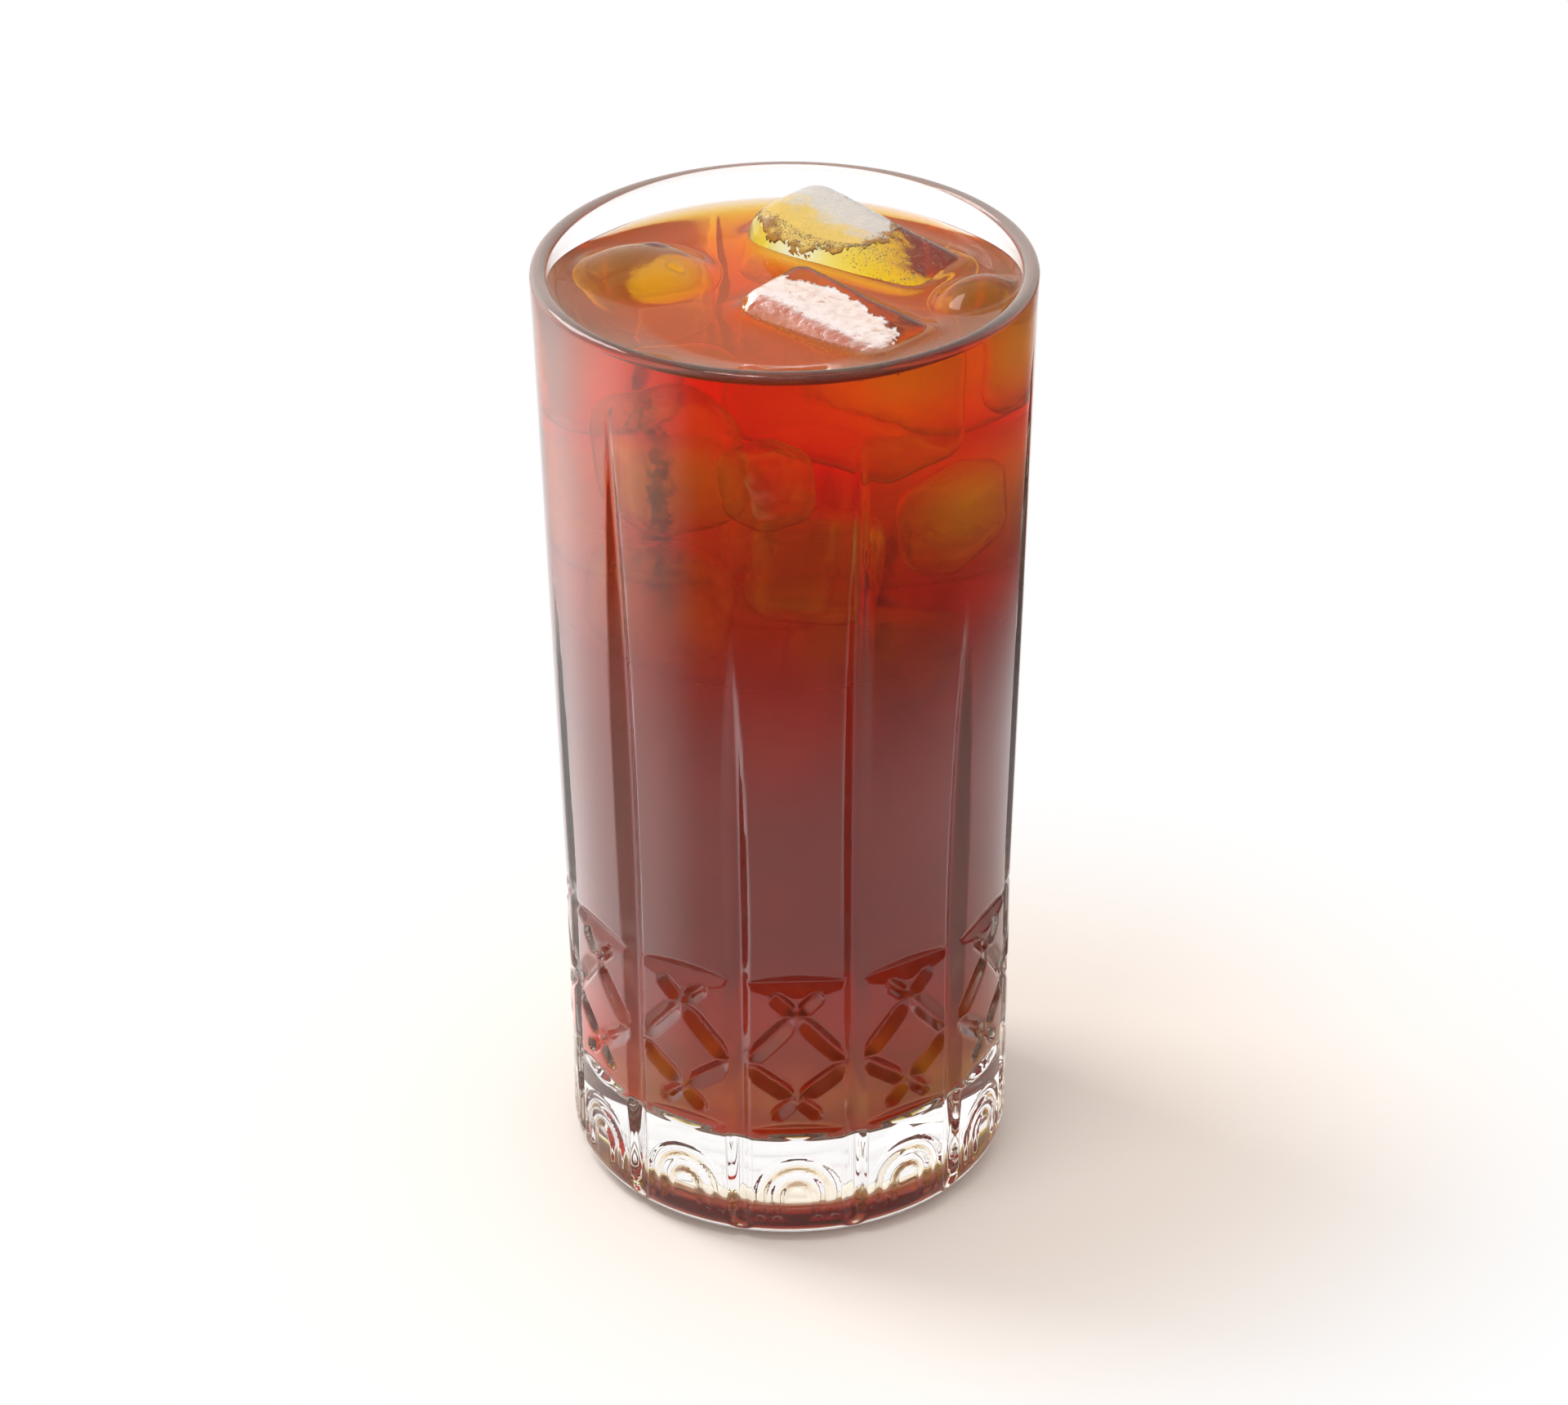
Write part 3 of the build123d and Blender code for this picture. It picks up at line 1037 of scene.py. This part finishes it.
def floorGlow(tree, coords, isGlossy):
    form = stageForm
    away = tree.nodes.new("ShaderNodeVectorMath")
    away.operation = "NORMALIZE"
    feed(tree, away.inputs[0], coords)
    x, y, _ = axesOf(tree, away.outputs["Vector"])
    distant = ramped(tree, vectorLength(tree, coords), *inMetres(form["distant"]))
    ahead = ramped(tree, y, *form["ahead"])
    beside = ramped(tree, x, *form["beside"])
    dark = calculated(tree, "MULTIPLY", distant, calculated(tree, "MAXIMUM", ahead, beside))
    front = ramped(tree, dark, 0.0, 1.0, *form["nearAndFar"], "LINEAR")
    sides = calculated(tree, "ADD", front, ramped(tree, x, *form["left"]))
    glow = tree.nodes.new("ShaderNodeEmission")
    setInputs(tree, glow, {"Color": (1, 1, 1, 1), "Strength": blend(tree, isGlossy, 1.0, sides, "FLOAT")})
    return glow.outputs["Emission"]


def floorMaterial():
    material, tree, shader = nodeMaterial("paleFloor")
    tree.nodes.remove(shader)
    coords = objectCoords(tree)
    place, size = stageForm["oval"]
    oval = vectorLength(tree, mapped(tree, coords, "TEXTURE", place=place, scale=size))
    fade = ramped(tree, oval, *stageForm["ovalFade"])
    light = tree.nodes.new("ShaderNodeLightPath").outputs
    clear = calculated(tree, "MAXIMUM", light["Is Glossy Ray"], light["Is Transmission Ray"])
    seen = calculated(tree, "MAXIMUM", light["Is Camera Ray"], clear)
    share = calculated(tree, "MULTIPLY", fade, seen)
    glow = floorGlow(tree, coords, light["Is Glossy Ray"])
    showSurface(tree, mixShaders(tree, share, diffuse(tree, stageForm["tone"]), glow))
    return material


def buildFloor():
    form = stageForm
    bm = bmesh.new()
    bmesh.ops.create_circle(bm, cap_ends=True, segments=form["sides"], radius=form["radius"] * mm)
    bmesh.ops.translate(bm, vec=(0, 0, -form["below"] * mm), verts=bm.verts)
    mesh = bpy.data.meshes.new("floor")
    bm.to_mesh(mesh)
    bm.free()
    mesh.materials.append(floorMaterial())
    floor = bpy.data.objects.new("floor", mesh)
    bpy.context.scene.collection.objects.link(floor)


def buildWorld():
    world = bpy.data.worlds.new("studio")
    bpy.context.scene.world = world
    world.use_nodes = True
    tree = world.node_tree
    coords = tree.nodes.new("ShaderNodeTexCoord").outputs["Generated"]
    x, y, z = axesOf(tree, coords)
    back = ramped(tree, y, *worldForm["back"])
    mirrored = calculated(tree, "ADD", back, ramped(tree, x, *worldForm["left"]))
    softColor, softStrength = worldForm["soft"]
    backdrops = {
        "clear": ((1, 1, 1, 1), ramped(tree, z, *worldForm["overhead"])),
        "soft": (softColor, softStrength),
        "mirror": (worldForm["mirrored"], mirrored),
    }
    shades = {}
    for name, (color, strength) in backdrops.items():
        backdrop = tree.nodes.new("ShaderNodeBackground")
        setInputs(tree, backdrop, {"Color": color, "Strength": strength})
        shades[name] = backdrop.outputs["Background"]
    tree.nodes.remove(tree.nodes["Background"])
    light = tree.nodes.new("ShaderNodeLightPath").outputs
    seen = calculated(tree, "MAXIMUM", light["Is Camera Ray"], light["Is Transmission Ray"])
    plain = mixShaders(tree, seen, shades["soft"], shades["clear"])
    showSurface(tree, mixShaders(tree, light["Is Glossy Ray"], plain, shades["mirror"]), "World Output")


def addLamp(name, form):
    data = bpy.data.lights.new(name, "AREA")
    data.shape = "RECTANGLE"
    data.size, data.size_y = (side * mm for side in form["size"])
    data.energy = form["power"]
    lamp = bpy.data.objects.new(name, data)
    place = Vector(form["place"]) * mm
    turned = (place - Vector(form["aim"]) * mm).to_track_quat("Z", "Y")
    lamp.matrix_world = Matrix.Translation(place) @ turned.to_matrix().to_4x4()
    lamp.visible_transmission = False
    bpy.context.scene.collection.objects.link(lamp)


def setCycles():
    bpy.context.scene.view_settings.view_transform = "Standard"
    cycles = bpy.context.scene.cycles
    cycles.max_bounces = 24
    cycles.transmission_bounces = 24
    cycles.glossy_bounces = 12
    cycles.diffuse_bounces = 4
    cycles.use_denoising = True


addCamera(cameraForm)
print("camera set")

cutGlass = glassMaterial("cutGlass", glassLook["outside"])
wetGlass = glassMaterial("wetGlass", glassLook["wet"])
tumblerMesh = buildTumbler()
addPiece("tumblerGlass", tumblerMesh, cutGlass, ["tumbler"])
tumblerMesh.materials.append(wetGlass)
wetInside(tumblerMesh)
print("tumbler cut:", len(tumblerMesh.polygons), "faces")

bubbleLook, grainLook = beadMaterial("airBubble"), beadMaterial("darkGrain")
for node, regions in bubbleForm.items():
    label = node.replace("ice_", "")
    skin = frostSkin("frost_" + label, node, blockCentre(node))
    skinLook = frostMaterial("frostSkin_" + label, node, blockCentre(node))
    addPiece("frost_" + label, skin, skinLook)
    bubbles = beadMesh("bubbles_" + label, node, blockCentre(node), regions)
    addPiece("bubbles_" + label, bubbles, bubbleLook)
grains = beadMesh("grains_back", "ice_back", blockCentre("ice_back"), grainForm)
addPiece("grains_back", grains, grainLook)
print("frost and bubbles laid")

fineDetail, plainDetail = wornForm["detail"]
pocketInset = wornForm["pocketInset"]
clearIce = iceMaterial("wetIce")
pockets = []
for node, form in iceForm.items():
    name = node.replace("ice_", "iceBlock_")
    block = iceMesh(name, form, blockCentre(node), 0.0, fineDetail)
    addPiece(name, block, clearIce, [node])
    pockets.append(iceMesh("pocket", form, blockCentre(node), pocketInset, fineDetail))
sunkMeshes = [iceMesh("sunk", form, form["place"], 0.0, plainDetail) for form in sunkForm]
addPiece("sunkIce", joinedMesh("sunkIce", sunkMeshes), iceMaterial("cloudyIce"))
pockets += [iceMesh("pocket", form, form["place"], pocketInset, plainDetail) for form in sunkForm]
print("ice blocks shaped")

coffeeMesh = buildCoffee(pockets)
addPiece("coffeeLiquid", coffeeMesh, coffeeMaterial(), ["coffee"])
print("coffee poured:", len(coffeeMesh.polygons), "faces")

buildFloor()
buildWorld()
for name, form in lampForm.items():
    addLamp(name, form)
setCycles()
print("stage lit")
